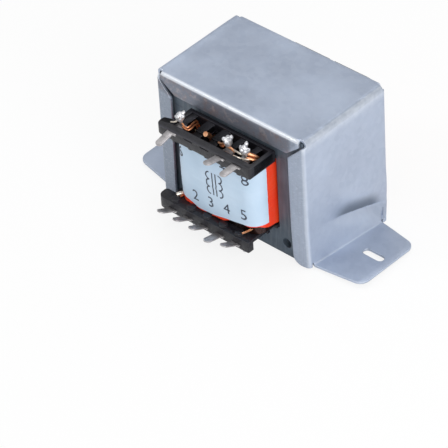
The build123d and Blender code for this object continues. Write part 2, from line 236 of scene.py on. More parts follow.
def moulding_finish():
    """Black moulding, scuffed, with painted highlights on its edges and painted shade in the upper tray's
    cavities.
    """
    f = Finish("black_moulding", specular_ior_level=0.48)
    cloud = f.noise(f.place, 240, 4, 0.6)
    grit = f.noise(f.place, 2600, 2, 0.6)
    scuff = f.band(f.noise(f.stretched(420, 900, 420), 1.0, 5, 0.7), 0.6, 0.78)
    tone = f.blend(cloud, (0.007, 0.007, 0.010), (0.018, 0.018, 0.024))
    tone = f.blend(scuff * 0.3, tone, (0.065, 0.065, 0.08))
    # Painted highlights on the bevelled edges between top faces and front and right faces
    wear_and_sheen = f.band(f.faces(1) * f.faces(2), -0.15, -0.4) + f.band(f.faces(0) * f.faces(2), 0.15, 0.4)
    # Painted shade, with a metallic sheen, in the upper tray's cavities
    cavity_shade = f.band(f.axis(1), -0.0336, -0.0331) * f.band(f.axis(1), -0.0234, -0.0239)
    cavity_shade = cavity_shade * f.band(f.axis(2), 0.0428, 0.0432) * f.band(f.axis(2), 0.0469, 0.0466)
    tone = f.blend(cavity_shade * 0.8, tone, (0.003, 0.003, 0.004))
    tone = f.blend((wear_and_sheen * 0.6).clamped(), tone, (0.12, 0.12, 0.15))
    f.set(base_color=tone, roughness=0.26 + 0.2 * cloud + 0.12 * scuff, metallic=cavity_shade * 0.7)
    return f.bump(grit * 0.15 + cloud * 0.85, 0.5, 0.0008)


def tape_finish():
    """Glossy orange tape whose layers show as faint level streaks."""
    f = Finish("orange_tape", coat_roughness=0.08, specular_ior_level=0.5, roughness=0.32)
    cloud = f.noise(f.place, 70, 4, 0.55)
    layer = f.noise(f.stretched(60, 60, 900), 1.0, 4, 0.6)
    tone = f.blend(f.band(cloud, 0.3, 0.7), (0.98, 0.045, 0.010), (1.0, 0.075, 0.018))
    tone = f.blend(f.band(layer, 0.55, 0.8) * 0.3, tone, (0.70, 0.028, 0.010))
    f.set(base_color=tone, coat_weight=0.25 + 0.3 * cloud)
    return f.bump(layer * 0.6 + cloud * 0.4, 0.35, 0.0006)


def paper_finish():
    f = Finish("label_paper", coat_roughness=0.3, specular_ior_level=0.4)
    cloud = f.noise(f.place, 60, 3, 0.5)
    fibre = f.noise(f.stretched(2400, 2400, 1100), 1.0, 3, 0.7)
    tone = f.blend(f.band(cloud, 0.3, 0.7), (0.50, 0.645, 0.80), (0.58, 0.715, 0.86))
    tone = f.blend(f.band(fibre, 0.5, 0.85) * 0.15, tone, (0.78, 0.84, 0.90))
    f.set(base_color=tone, roughness=0.42 + 0.12 * fibre)
    return f.bump(fibre * 0.5 + cloud, 0.12, 0.0003)


def print_finish():
    f = Finish("label_print")
    fade = f.noise(f.place, 900, 3, 0.6)
    f.set(base_color=f.blend(f.band(fade, 0.35, 0.8), (0.035, 0.045, 0.075), (0.09, 0.11, 0.16)),
          roughness=0.5 + 0.15 * fade)
    return f.material


def tinned_finish():
    f = Finish("tinned_tag", metallic=0.85)
    cloud = f.noise(f.place, 420, 4, 0.6)
    streak = f.noise(f.stretched(1500, 240, 1500), 1.0, 3, 0.6)
    tone = f.blend(f.band(cloud, 0.3, 0.7), (0.40, 0.385, 0.395), (0.62, 0.60, 0.61))
    tone = f.blend(f.band(streak, 0.6, 0.8) * 0.4, tone, (0.27, 0.25, 0.25))
    f.set(base_color=tone, roughness=0.34 + 0.2 * cloud)
    return f.bump(streak * 0.6 + cloud * 0.4, 0.2, 0.0003)


def solder_finish():
    f = Finish("bright_solder", metallic=0.8)
    cloud = f.noise(f.place, 500, 3, 0.5)
    tone = f.blend(f.band(cloud, 0.3, 0.7), (0.58, 0.59, 0.63), (0.86, 0.86, 0.89))
    f.set(base_color=tone, roughness=0.22 + 0.2 * cloud)
    return f.bump(cloud, 0.1, 0.0003)


def copper_finish(name, low, high):
    """Enamelled or bare wire, with the turns of a winding as fine level ridges."""
    f = Finish(name, metallic=0.9, coat_roughness=0.12)
    cloud = f.noise(f.place, 500, 4, 0.6)
    turns = f.node("ShaderNodeTexWave", {"wave_type": "BANDS", "bands_direction": "Z"},
                   {"Vector": f.place, "Scale": 260.0, "Distortion": 0.4, "Detail": 1.0}, out=1)
    tone = f.blend(f.band(cloud, 0.3, 0.7), low, high)
    f.set(base_color=tone, roughness=0.2 + 0.18 * cloud, coat_weight=0.35 + 0.3 * cloud)
    return f.bump(turns * 0.15 + cloud * 0.85, 0.2, 0.0004)


def film_finish():
    f = Finish("clear_film")
    cloud = f.noise(f.place, 160, 3, 0.5)
    f.set(base_color=f.blend(cloud, (0.50, 0.42, 0.24), (0.66, 0.58, 0.38)), roughness=0.25 + 0.2 * cloud)
    return f.bump(cloud, 0.2, 0.0003)


ZINC = zinc_finish()
CORE = core_finish()
MOULDING = moulding_finish()
TAPE_RED = tape_finish()
PAPER = paper_finish()
PRINT = print_finish()
TINNED = tinned_finish()
SOLDER = solder_finish()
COPPER = copper_finish("copper_wire", (0.42, 0.13, 0.05), (0.72, 0.31, 0.14))
# Dark enamel, made near black as painted shade for the gap under the tape's lifted edge
ENAMEL_AND_GAP_SHADE = copper_finish("dark_enamel_and_gap_shade", (0.030, 0.012, 0.010), (0.06, 0.022, 0.016))
BARE_COPPER = copper_finish("bright_copper", (0.66, 0.27, 0.12), (0.86, 0.45, 0.25))
CREAM = copper_finish("tinned_copper", (0.75, 0.66, 0.55), (0.95, 0.88, 0.78))
FILM = film_finish()


# Making pieces out of meshes
def clamp(value, low=0.0, high=1.0):
    return min(high, max(low, value))


def smooth(value):
    """Eases from 0 to 1 as the value goes from 0 to 1."""
    value = clamp(value)
    return value * value * (3 - 2 * value)


def placed(name, data):
    """A new object in the scene."""
    made = bpy.data.objects.new(name, data)
    bpy.context.scene.collection.objects.link(made)
    return made


def worked_out(holder):
    """The bmesh that an object comes to, modifiers and curves included. The object is taken away."""
    whole = bpy.data.meshes.new_from_object(holder.evaluated_get(bpy.context.evaluated_depsgraph_get()))
    bpy.data.objects.remove(holder)
    mesh = bmesh.new()
    mesh.from_mesh(whole)
    bpy.data.meshes.remove(whole)
    return mesh


def stored(mesh, name):
    """A bmesh turned into mesh data. The bmesh is freed."""
    data = bpy.data.meshes.new(name)
    mesh.to_mesh(data)
    mesh.free()
    return data


def verts_of(items):
    return [item for item in items if isinstance(item, bmesh.types.BMVert)]


def finished(mesh, name, material, replaced=(), crease=40):
    """Turns a bmesh in millimetres into a piece of the object, in metres."""
    bmesh.ops.scale(mesh, vec=(MM,) * 3, verts=mesh.verts)
    data = stored(mesh, name)
    for face in data.polygons:
        face.use_smooth = True
    data.set_sharp_from_angle(angle=radians(crease))
    piece = placed(name, data)
    data.materials.append(material)
    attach(piece, "root")
    if replaced:
        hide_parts(*replaced)
    return piece


def modified(mesh, kind, **settings):
    """The bmesh after one Blender modifier."""
    data = stored(mesh, "work")
    holder = placed("work", data)
    step = holder.modifiers.new("step", kind)
    for key, value in settings.items():
        setattr(step, key, value)
    mesh = worked_out(holder)
    bpy.data.meshes.remove(data)
    return mesh


def carved(mesh, low, high):
    """The bmesh less a box."""
    box = bmesh.new()
    bmesh.ops.create_cube(box, size=1.0)
    span = [b - a for a, b in zip(low, high)]
    bmesh.ops.scale(box, vec=span, verts=box.verts)
    bmesh.ops.translate(box, vec=[(a + b) / 2 for a, b in zip(low, high)], verts=box.verts)
    data = stored(box, "cutter")
    cutter = placed("cutter", data)
    mesh = modified(mesh, "BOOLEAN", operation="DIFFERENCE", solver="EXACT", object=cutter)
    bpy.data.objects.remove(cutter)
    bpy.data.meshes.remove(data)
    return mesh


def softened(node, name, material, width, warp=None, cut=None):
    """A copy of a CAD node with its edges eased, less a box, and moved by a function of place."""
    sharp = radians(35)
    mesh = bmesh.new()
    mesh.from_mesh(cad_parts[node].data)
    bmesh.ops.scale(mesh, vec=(1 / MM,) * 3, verts=mesh.verts)
    if cut:
        mesh = carved(mesh, *cut)
    bmesh.ops.remove_doubles(mesh, verts=mesh.verts, dist=0.002)
    bmesh.ops.dissolve_limit(mesh, angle_limit=radians(1), verts=mesh.verts, edges=mesh.edges)
    edges = [e for e in mesh.edges if len(e.link_faces) == 2 and e.calc_face_angle(0) > sharp]
    bmesh.ops.bevel(mesh, geom=edges, offset=width, offset_type="OFFSET", segments=2, profile=0.5,
                    affect="EDGES", material=-1, clamp_overlap=True)
    if warp:
        for v in mesh.verts:
            v.co = warp(v.co)
    return finished(mesh, name, material, [node], crease=50)


# Work on flat sheets, which are cut first and folded or wrapped round later
def flat_sheet(half_x, half_y):
    """A flat rectangle about the origin, as one face."""
    mesh = bmesh.new()
    bmesh.ops.create_grid(mesh, x_segments=1, y_segments=1, size=1.0)
    bmesh.ops.scale(mesh, vec=(half_x, half_y, 1), verts=mesh.verts)
    return mesh


def rounded(points, radii, steps=6):
    """A closed outline whose corners are arcs of these radii."""
    outline = []
    for i, (point, radius) in enumerate(zip(points, radii)):
        here = Vector(point)
        if not radius:
            outline.append(here)
            continue
        before = (Vector(points[i - 1]) - here).normalized()
        after = (Vector(points[(i + 1) % len(points)]) - here).normalized()
        half = before.angle(after) / 2
        centre = here + (before + after).normalized() * radius / sin(half)
        start = here + before * radius / tan(half) - centre
        turn = -start.angle_signed(here + after * radius / tan(half) - centre)
        for k in range(steps + 1):
            arm = start.copy()
            arm.rotate(Matrix.Rotation(turn * k / steps, 2))
            outline.append(centre + arm)
    return outline


def inside(point, outline):
    """Whether a point lies within a convex outline."""
    signs = set()
    for a, b in zip(outline, outline[1:] + outline[:1]):
        across = (b.x - a.x) * (point.y - a.y) - (b.y - a.y) * (point.x - a.x)
        if abs(across) > 1e-6:
            signs.add(across > 0)
    return len(signs) < 2


def ruled(mesh, axis, values):
    """Cuts a flat sheet along straight lines right across it, at these places on X (0) or Y (1)."""
    normal = Vector((1, 0, 0)) if axis == 0 else Vector((0, 1, 0))
    for value in values:
        everything = mesh.verts[:] + mesh.edges[:] + mesh.faces[:]
        bmesh.ops.bisect_plane(mesh, geom=everything, dist=1e-4, plane_co=normal * value, plane_no=normal)


def scored(mesh, outline, margin=0.4):
    """Cuts a flat sheet along an outline, near each of its runs only."""
    for a, b in zip(outline, outline[1:] + outline[:1]):
        if (b - a).length < 1e-4:
            continue
        low = Vector((min(a.x, b.x) - margin, min(a.y, b.y) - margin))
        high = Vector((max(a.x, b.x) + margin, max(a.y, b.y) + margin))
        near = [f for f in mesh.faces
                if any(v.co.x >= low.x for v in f.verts) and any(v.co.x <= high.x for v in f.verts)
                and any(v.co.y >= low.y for v in f.verts) and any(v.co.y <= high.y for v in f.verts)]
        geom = set(near)
        for f in near:
            geom.update(f.edges)
            geom.update(f.verts)
        bmesh.ops.bisect_plane(mesh, geom=list(geom), dist=1e-3, plane_co=(a.x, a.y, 0),
                               plane_no=(b.y - a.y, a.x - b.x, 0))


def spaced(low, high, step):
    """Evenly spaced values between two ends, both ends included."""
    count = max(1, round((high - low) / step))
    return [low + (high - low) * i / count for i in range(count + 1)]


# Places on the flat sheet, measured from the middle of the top along X and Y
BEND = SHOULDER - SHEET / 2
FOLD = LIP_FOLD - SHEET / 2
TOP_END = FRAME_X - SHOULDER
SIDE_START = TOP_END + BEND * pi / 2
SIDE_END = SIDE_START + FRAME_Z - SHOULDER - FOOT_FOLD
CUT_END = SIDE_END + FOOT_FOLD
FOOT_START = SIDE_END + FOLD * pi / 2
FOOT_END = FOOT_START + FOOT_LENGTH - FOOT_FOLD + SHEET
PLATE_Y = FRAME_Y - LIP_FOLD
LIP_ARC = FOLD * (pi / 2 - LIP_LEAN)
TOP_REACH = PLATE_Y + FOLD * pi / 2 + TOP_LIP - LIP_FOLD
SIDE_REACH = PLATE_Y + LIP_ARC + (SIDE_LIP - LIP_FOLD) / cos(LIP_LEAN)
# The right foot's half widths in front, at its root and tip, which are larger than at the other corners
RIGHT_ROOT_FRONT, RIGHT_TIP_FRONT = 20.1, 15.5
# The gap at the mitres, how much wider it is at the front left and right, and where it leaves the fold
MITRE, WIDER_LEFT, WIDER_RIGHT = 0.9, 0.9, 0.45
MITRE_START = PLATE_Y + 1.5


def folded(u, v, w):
    """Where a point of the flat sheet comes to lie: u across, v front to back, w through the sheet."""
    side = 1 if u >= 0 else -1
    a = abs(u)
    root = FOOT_ROOT
    if side > 0 and v < 0:
        root = RIGHT_ROOT_FRONT
    if a <= TOP_END:
        x, z, angle = a, FRAME_Z - SHEET / 2, 0.0
    elif a <= SIDE_START:
        angle = (a - TOP_END) / BEND
        x = TOP_END + BEND * sin(angle)
        z = FRAME_Z - SHOULDER + BEND * cos(angle)
    elif a <= SIDE_END or abs(v) > root + RELIEF / 2:
        x, z, angle = FRAME_X - SHEET / 2, FRAME_Z - SHOULDER - (a - SIDE_START), pi / 2
    elif a <= FOOT_START:
        turn = (a - SIDE_END) / FOLD
        x = FRAME_X - SHEET / 2 + FOLD * (1 - cos(turn))
        z = FOOT_FOLD - FOLD * sin(turn)
        angle = pi / 2 - turn
    else:
        x, z, angle = FRAME_X - SHEET / 2 + FOLD + a - FOOT_START, SHEET / 2, 0.0
    full = pi / 2 if a < TOP_END + 0.01 else pi / 2 - LIP_LEAN
    past = max(0.0, abs(v) - PLATE_Y)
    turn = min(past / FOLD, full)
    run = max(0.0, past - FOLD * full)
    y = min(abs(v), PLATE_Y) + FOLD * sin(turn) + run * cos(full) + w * sin(turn)
    inward = FOLD * (1 - cos(turn)) + run * sin(full) - w * cos(turn)
    place = Vector((side * (x - inward * sin(angle)), y if v >= 0 else -y, z - inward * cos(angle)))
    return place + worn(place, side, a, v)


# The right foot and the sheet over it are knocked back out of square: how far each corner has moved
ROOT_FRONT_KNOCK = Vector((0.6, 0.0, 0.0))
ROOT_BACK_KNOCK = Vector((3.3, -4.2, -0.8))
TIP_FRONT_KNOCK = Vector((1.2, -2.8, 1.1))
TIP_BACK_KNOCK = Vector((1.5, -3.6, 0.2))
# The left side stands this far out, and its lips' edges this far at the top
LEFT_STAND_OFF = 1.7
LIP_STAND_OFF = 1.0


def crease_height(y):
    """The height of the crease in the right side above the knocked foot."""
    return 13.0 - 0.33 * (y + 7)


def worn(place, side, a, v):
    """How far a point of the sheet has been knocked from its true place.

    The point lies at place once folded, a across from the middle of the flat sheet and v along it.
    """
    shift = Vector((0, 0, 0))
    x, y, z = place
    if side > 0 and a > TOP_END:
        along = (v + RIGHT_ROOT_FRONT) / (FOOT_ROOT + RIGHT_ROOT_FRONT)
        knock = ROOT_FRONT_KNOCK.lerp(ROOT_BACK_KNOCK, clamp(along, high=1.1))
        if a > SIDE_END and x > FRAME_X - SHEET:
            out = clamp((a - FOOT_START) / (FOOT_END - FOOT_START))
            tip = TIP_FRONT_KNOCK.lerp(TIP_BACK_KNOCK, clamp(along))
            shift += knock.lerp(tip, out)
        else:
            crease = crease_height(y)
            low = crease - z
            shift += knock * clamp(low / crease)
            # The side is pushed in at the crease, and bulges out again above it
            dent = smooth((y + 13) / 15) * (1 - 0.8 * smooth((y - 11) / 10))
            if abs(y) < PLATE_Y + 1.2:
                above = clamp(-low / 16)
                below = clamp(low / 5)
                shift.x -= dent * ((1 - above) ** 2 * (1 - below) ** 2 - 1.4 * sin(pi * above))
                shift.x -= 0.35 * exp(-((y + 14.5) / 4) ** 2 - ((z - 14) / 5) ** 2)
    if side < 0:
        over = clamp((abs(v) - PLATE_Y) / (SIDE_REACH - PLATE_Y))
        edge = LIP_STAND_OFF + (LEFT_STAND_OFF - LIP_STAND_OFF + 0.2) * clamp((43 - z) / 35)
        if a <= TOP_END:
            shift.x -= LEFT_STAND_OFF * smooth((a - 22) / (TOP_END - 22))
        else:
            shift.x -= LEFT_STAND_OFF + (edge - LEFT_STAND_OFF) * over
    if TOP_END < a < SIDE_START:
        push = (0.6 if side < 0 else 0.3) * sin(pi * (a - TOP_END) / (SIDE_START - TOP_END))
        shift += Vector((side * 0.7, 0, 0.7)) * push
    # The right shoulder is a little uneven, and the flat parts sway
    bend = exp(-((a - (TOP_END + SIDE_START) / 2) / 3.2) ** 2) if side > 0 else 0.0
    rough = noise.noise(Vector((x * 0.16, y * 0.26, z * 0.16)))
    shift += Vector((side * 0.7, 0, 0.7)) * (0.22 * bend * rough)
    sway = noise.noise(Vector((x * 0.03 + 7, y * 0.035, z * 0.03)))
    if a < TOP_END:
        shift.z -= 0.22 * abs(sway) * (1 - smooth((abs(y) - 15) / 6))
    elif abs(y) < PLATE_Y:
        shift.x += side * 0.25 * sway * (1 - smooth((abs(y) - 15) / 6))
    return shift


def sheet_outlines():
    """Convex outlines on the flat sheet: plates, lips and, last, feet that are kept, and parts cut out."""
    plates = [(-CUT_END, -PLATE_Y), (CUT_END, -PLATE_Y), (CUT_END, PLATE_Y), (-CUT_END, PLATE_Y)]
    kept = [rounded(plates, [0] * 4)]
    dropped = []
    turn_v = PLATE_Y + FOLD * pi / 2 + FRAME_Z - LIP_FOLD - (FRAME_Z - SHOULDER - MITRE / 2)
    bottom_u = FRAME_X - TOP_LIP - MITRE / 2
    lip_top = SIDE_START + (SIDE_LIP + MITRE - SHOULDER)
    for end in (-1, 1):
        top = [(-TOP_END, end * PLATE_Y), (TOP_END, end * PLATE_Y), (TOP_END, end * turn_v),
               (bottom_u, end * TOP_REACH), (-bottom_u, end * TOP_REACH), (-TOP_END, end * turn_v)]
        kept.append(rounded(top, [0] * 6))
        for side in (-1, 1):
            wider = 0 if end > 0 else WIDER_RIGHT if side > 0 else WIDER_LEFT
            lip = [(side * SIDE_START, end * PLATE_Y), (side * (SIDE_START + wider), end * MITRE_START),
                   (side * (lip_top + wider), end * SIDE_REACH), (side * CUT_END, end * SIDE_REACH),
                   (side * CUT_END, end * PLATE_Y)]
            kept.append(rounded(lip, [0, 0, 0, LIP_CORNER, 0]))
    for side in (-1, 1):
        front, front_tip = (RIGHT_ROOT_FRONT, RIGHT_TIP_FRONT) if side > 0 else (FOOT_ROOT, FOOT_TIP)
        foot = [(side * SIDE_END, -front), (side * FOOT_START, -front), (side * FOOT_END, -front_tip),
                (side * FOOT_END, FOOT_TIP), (side * FOOT_START, FOOT_ROOT), (side * SIDE_END, FOOT_ROOT)]
        kept.append(rounded(foot, [0, 0, FOOT_CORNER, FOOT_CORNER, 0, 0]))
        for end, root in ((-1, front), (1, FOOT_ROOT)):
            notch = min(RELIEF, PLATE_Y - root)
            dropped.append(rounded([(side * SIDE_END, end * root), (side * FOOT_END, end * root),
                                    (side * FOOT_END, end * (root + notch)),
                                    (side * SIDE_END, end * (root + notch))], [0] * 4))
        middle = FOOT_START - FOLD - SHEET / 2 + SLOT_OUT + SHEET
        near, far = side * (middle - SLOT_HALF_LENGTH), side * (middle + SLOT_HALF_LENGTH)
        half = SLOT_HALF_WIDTH
        slot = [(near, -half), (far, -half), (far, half), (near, half)]
        dropped.append(rounded(slot, [half - 0.001] * 4, 5))
    return kept, dropped


def make_frame_piece():
    """The frame's sheet: ruled, cut flat, given its thickness, its rim eased, and folded up."""
    edge_v = max(TOP_REACH, SIDE_REACH)
    mesh = flat_sheet(FOOT_END, edge_v)
    across = spaced(0, TOP_END, 1.8) + spaced(TOP_END, SIDE_START, 0.4) + spaced(SIDE_START, SIDE_END, 1.6)
    across += spaced(SIDE_END, FOOT_START, 0.35) + [CUT_END] + spaced(FOOT_START, FOOT_END, 2.5)
    creased = spaced(SIDE_END - 18, SIDE_END - 2, 0.5)
    ruled(mesh, 0, sorted({round(s * value, 4) for value in across for s in (-1, 1)} | set(creased)))
    along = spaced(0, PLATE_Y, 1.8) + spaced(PLATE_Y, PLATE_Y + FOLD * pi / 2, 0.32)
    along += spaced(PLATE_Y + FOLD * pi / 2, edge_v, 1.6) + [FOOT_ROOT, FOOT_ROOT + RELIEF]
    lines = {round(s * value, 4) for value in along for s in (-1, 1)}
    lines |= {-RIGHT_ROOT_FRONT, -RIGHT_ROOT_FRONT - 0.4} | set(spaced(-14.1, 19.5, 0.7))
    ruled(mesh, 1, sorted(lines))
    kept, dropped = sheet_outlines()
    for outline in kept[1:] + dropped:
        scored(mesh, outline)
    feet = kept[-2:]
    waste = []
    for f in mesh.faces:
        middle = f.calc_center_median().xy
        wanted = feet if abs(middle.x) > CUT_END else kept
        if any(inside(middle, o) for o in dropped) or not any(inside(middle, o) for o in wanted):
            waste.append(f)
    bmesh.ops.delete(mesh, geom=waste, context="FACES")
    rim = [v for v in mesh.verts if v.is_boundary]
    bmesh.ops.remove_doubles(mesh, verts=rim, dist=0.12)
    bmesh.ops.recalc_face_normals(mesh, faces=mesh.faces)
    bmesh.ops.solidify(mesh, geom=mesh.faces[:], thickness=SHEET)
    low = min(v.co.z for v in mesh.verts)
    bmesh.ops.translate(mesh, vec=(0, 0, -low - SHEET / 2), verts=mesh.verts)
    edges = [e for e in mesh.edges if len(e.link_faces) == 2 and e.calc_face_angle(0) > 1.2]
    bmesh.ops.bevel(mesh, geom=edges, offset=RIM_EASE, offset_type="OFFSET", segments=2, profile=0.5,
                    affect="EDGES", material=-1, clamp_overlap=False)
    bmesh.ops.recalc_face_normals(mesh, faces=mesh.faces)
    for v in mesh.verts:
        v.co = folded(*v.co)
    return finished(mesh, "zinc_frame", ZINC, ["mounting_frame"])


make_frame_piece()


# Core, coil and terminal places. The coil's section is a rounded rectangle of half sizes COIL_X and COIL_Y
CORE_X = 33.0
WINDOW_X = 20.1
TONGUE_X = 10.1
YOKE = 11.0
HOLE_X = 23.4
HOLE_RADIUS = 2.0
SHEET_PITCH, SHEET_GAP = 0.5, 0.05
COIL_X, COIL_Y, COIL_RADIUS = 19.28, 31.6, 5.3
COIL_LOW, COIL_HIGH = 12.7, 42.3
TAPE = 0.2
FLAT_X = COIL_X - COIL_RADIUS
FLAT_Y = COIL_Y - COIL_RADIUS
CORNER = COIL_RADIUS * pi / 2
HALF_ROUND = 2 * FLAT_X + 2 * FLAT_Y + 2 * CORNER
LABEL_HALF = FLAT_X + CORNER + 0.1
LABEL_TOP, LABEL_THICKNESS = 41.5, 0.12
TAG_PITCH = 7.7
UPPER_TAG_X = -0.6
LOWER_TAG_X = -3.2
POST_Y = -31.0
JOINT_Z = 50.4


def core_sheets(name, outline, hole_z, node):
    """A pile of punched sheets; every other one is turned over."""
    mesh = bmesh.new()
    corners = [mesh.verts.new((x, 0, z)) for x, z in outline]
    for a, b in zip(corners, corners[1:] + corners[:1]):
        mesh.edges.new((a, b))
    for side in (-1, 1):
        place = Matrix.Translation((side * HOLE_X, 0, hole_z)) @ Matrix.Rotation(pi / 2, 4, "X")
        bmesh.ops.create_circle(mesh, cap_ends=False, radius=HOLE_RADIUS, segments=16, matrix=place)
    bmesh.ops.triangle_fill(mesh, edges=mesh.edges[:], use_beauty=True, use_dissolve=False)
    grown = bmesh.ops.extrude_face_region(mesh, geom=mesh.faces[:])["geom"]
    bmesh.ops.translate(mesh, vec=(0, SHEET_PITCH - SHEET_GAP, 0), verts=verts_of(grown))
    bmesh.ops.recalc_face_normals(mesh, faces=mesh.faces)
    master = mesh.verts[:] + mesh.edges[:] + mesh.faces[:]
    middle = Matrix.Translation((0, 0, CORE_Z / 2))
    over = middle @ Matrix.Rotation(pi, 4, "Y") @ middle.inverted()
    for layer in range(round(2 * CORE_Y / SHEET_PITCH)):
        copy = bmesh.ops.duplicate(mesh, geom=master)["geom"]
        drift = (random.uniform(-0.07, 0.07), random.uniform(-0.05, 0.05))
        slip = Vector((drift[0], layer * SHEET_PITCH - CORE_Y, drift[1]))
        place = Matrix.Translation(slip)
        if layer % 2:
            place = place @ over
        bmesh.ops.transform(mesh, matrix=place, verts=verts_of(copy))
    bmesh.ops.delete(mesh, geom=verts_of(master), context="VERTS")
    return finished(mesh, name, CORE, [node], crease=30)


def make_core():
    """The E sheets, open at the top, and the I sheets that close them."""
    top = CORE_Z - YOKE
    e_outline = [(-CORE_X, 0), (CORE_X, 0), (CORE_X, top), (WINDOW_X, top), (WINDOW_X, YOKE),
                 (TONGUE_X, YOKE), (TONGUE_X, top), (-TONGUE_X, top), (-TONGUE_X, YOKE),
                 (-WINDOW_X, YOKE), (-WINDOW_X, top), (-CORE_X, top)]
    i_outline = [(-CORE_X, top + 0.06), (CORE_X, top + 0.06), (CORE_X, CORE_Z), (-CORE_X, CORE_Z)]
    core_sheets("e_sheets", e_outline, YOKE / 2, "e_laminations")
    core_sheets("i_sheets", i_outline, CORE_Z - YOKE / 2, "i_laminations")


def wrapped(s, z, lift):
    """A place on the coil's side. s runs round it from the middle of the front, and lift stands off it."""
    t = abs(s)
    way = 1 if s >= 0 else -1
    if t <= FLAT_X:
        x, y, out_x, out_y = t, -COIL_Y, 0.0, -1.0
    elif t <= FLAT_X + CORNER:
        angle = (t - FLAT_X) / COIL_RADIUS
        out_x, out_y = sin(angle), -cos(angle)
        x, y = FLAT_X + COIL_RADIUS * out_x, -FLAT_Y + COIL_RADIUS * out_y
    elif t <= FLAT_X + CORNER + 2 * FLAT_Y:
        x, y, out_x, out_y = COIL_X, t - FLAT_X - CORNER - FLAT_Y, 1.0, 0.0
    elif t <= FLAT_X + 2 * CORNER + 2 * FLAT_Y:
        angle = (t - FLAT_X - CORNER - 2 * FLAT_Y) / COIL_RADIUS
        out_x, out_y = cos(angle), sin(angle)
        x, y = FLAT_X + COIL_RADIUS * out_x, FLAT_Y + COIL_RADIUS * out_y
    else:
        x, y, out_x, out_y = HALF_ROUND - t, COIL_Y, 0.0, 1.0
    rise = (z - (COIL_LOW + COIL_HIGH) / 2) / ((COIL_HIGH - COIL_LOW) / 2)
    crown = 0.85 * max(0.0, 1 - (x / COIL_X) ** 2) * abs(out_y)
    barrel = 0.2 * (1 - rise * rise) * abs(out_y)
    fold = noise.noise(Vector((s * 0.05, z * 0.75, 3.1)))
    fine = noise.noise(Vector((s * 0.12, z * 2.1, 8.4)))
    free = min(1.0, 0.35 + abs(out_y))
    if out_y > 0:
        free *= 1 + out_y
    out = crown + barrel + lift + free * (0.12 + 0.13 * fold + 0.06 * fine)
    return Vector((way * (x + out_x * out), y + out_y * out, z))


def marked(marks, s):
    """A value read off a list of places and values, straight from one to the next."""
    for (s0, z0), (s1, z1) in zip(marks, marks[1:]):
        if s <= s1:
            break
    return z0 + (z1 - z0) * clamp((s - s0) / (s1 - s0))


def tape_low(s):
    """The tape's lower edge, pulled up where the winding's ends come out at the right."""
    return COIL_LOW + marked([(-2, 0), (4, 0.9), (8, 3.3), (19, 3.3), (22.5, 1.3), (28, 0.5), (34, 0)], s)


def make_tape():
    """The coil's outer layer of tape, wound as a closed sleeve, with wrinkles and a lapped end behind."""
    height = (COIL_HIGH - COIL_LOW) / 2
    mesh = flat_sheet(HALF_ROUND, height)
    bmesh.ops.translate(mesh, vec=(0, COIL_LOW + height, 0), verts=mesh.verts)
    ruled(mesh, 0, spaced(-HALF_ROUND, HALF_ROUND, 0.8)[1:-1])
    ruled(mesh, 1, spaced(COIL_LOW, COIL_HIGH, 0.45)[1:-1])
    lap = HALF_ROUND - 12.0
    for v in mesh.verts:
        s, z, _ = v.co
        ragged = 0.35 * noise.noise(Vector((s * 0.35, 1.7, 0))) * smooth((COIL_LOW + 1.2 - z) / 1.2)
        low = tape_low(s)
        z = low + (z - COIL_LOW) / (COIL_HIGH - COIL_LOW) * (COIL_HIGH - low)
        v.co = wrapped(s, z + ragged, 0.1 * smooth((s - lap) / 0.6))
    bmesh.ops.remove_doubles(mesh, verts=[v for v in mesh.verts if v.is_boundary], dist=0.12)
    bmesh.ops.recalc_face_normals(mesh, faces=mesh.faces)
    bmesh.ops.solidify(mesh, geom=mesh.faces[:], thickness=TAPE)
    return finished(mesh, "tape_sleeve", TAPE_RED, ["winding_tape"], crease=60)


def label_low(s):
    """The label's hand-cut lower edge."""
    return marked([(-24, 18.2), (-19, 17.2), (-15, 15.2), (-8, 13.5), (0, 14.2), (6, 15.4), (13.5, 16.4),
                   (24, 16.9)], s)


def label_place(s, z, lift=0.0):
    """A place on the label, which ripples and lifts a little at its side edges."""
    ripple = 0.10 * noise.noise(Vector((s * 0.11, z * 0.13, 5.0)))
    edge = 0.12 * smooth((abs(s) - LABEL_HALF + 3) / 3) * (1 + noise.noise(Vector((0, z * 0.4, 2.0))))
    return wrapped(s, z, 0.29 + ripple + edge + lift)


def make_label():
    """The paper label: a strip round the front and both corners of the coil."""
    mesh = flat_sheet(LABEL_HALF, 0.5)
    bmesh.ops.translate(mesh, vec=(0, 0.5, 0), verts=mesh.verts)
    ruled(mesh, 0, spaced(-LABEL_HALF, LABEL_HALF, 0.7)[1:-1])
    ruled(mesh, 1, spaced(0, 1, 1 / 40)[1:-1])
    for v in mesh.verts:
        s, share, _ = v.co
        low = label_low(s)
        v.co = label_place(s, low + share * (LABEL_TOP - low))
    bmesh.ops.recalc_face_normals(mesh, faces=mesh.faces)
    bmesh.ops.solidify(mesh, geom=mesh.faces[:], thickness=LABEL_THICKNESS)
    return finished(mesh, "paper_label", PAPER, ["label"], crease=60)


def figure_mesh(text, size):
    """The flat outline of some figures, in millimetres, with its middle at the origin."""
    words = bpy.data.curves.new("figures", "FONT")
    words.body = text
    words.size = size
    words.align_x = "CENTER"
    words.align_y = "CENTER"
    words.resolution_u = 4
    return worked_out(placed("figures", words))


def joined(into, part, place):
    """Adds one bmesh to another, moved by a matrix."""
    bmesh.ops.transform(part, matrix=place, verts=part.verts)
    data = stored(part, "part")
    into.from_mesh(data)
    bpy.data.meshes.remove(data)


def coil_sign():
    """The sign for two coils side by side with a core between them."""
    mesh = bmesh.new()
    for side in (-1, 1):
        for turn in range(3):
            middle = Vector((side * 2.2, (turn - 1) * 3.2, 0))
            ends = [mesh.verts.new(middle + Vector((0, 1.6 + d, 0))) for d in (-0.28, 0.28)]
            edge = mesh.edges.new(ends)
            bmesh.ops.spin(mesh, geom=ends + [edge], cent=middle, axis=(0, 0, -side), angle=pi, steps=12)
        joined(mesh, flat_sheet(0.26, 4.9), Matrix.Translation((side * 0.8, 0, 0)))
    return mesh


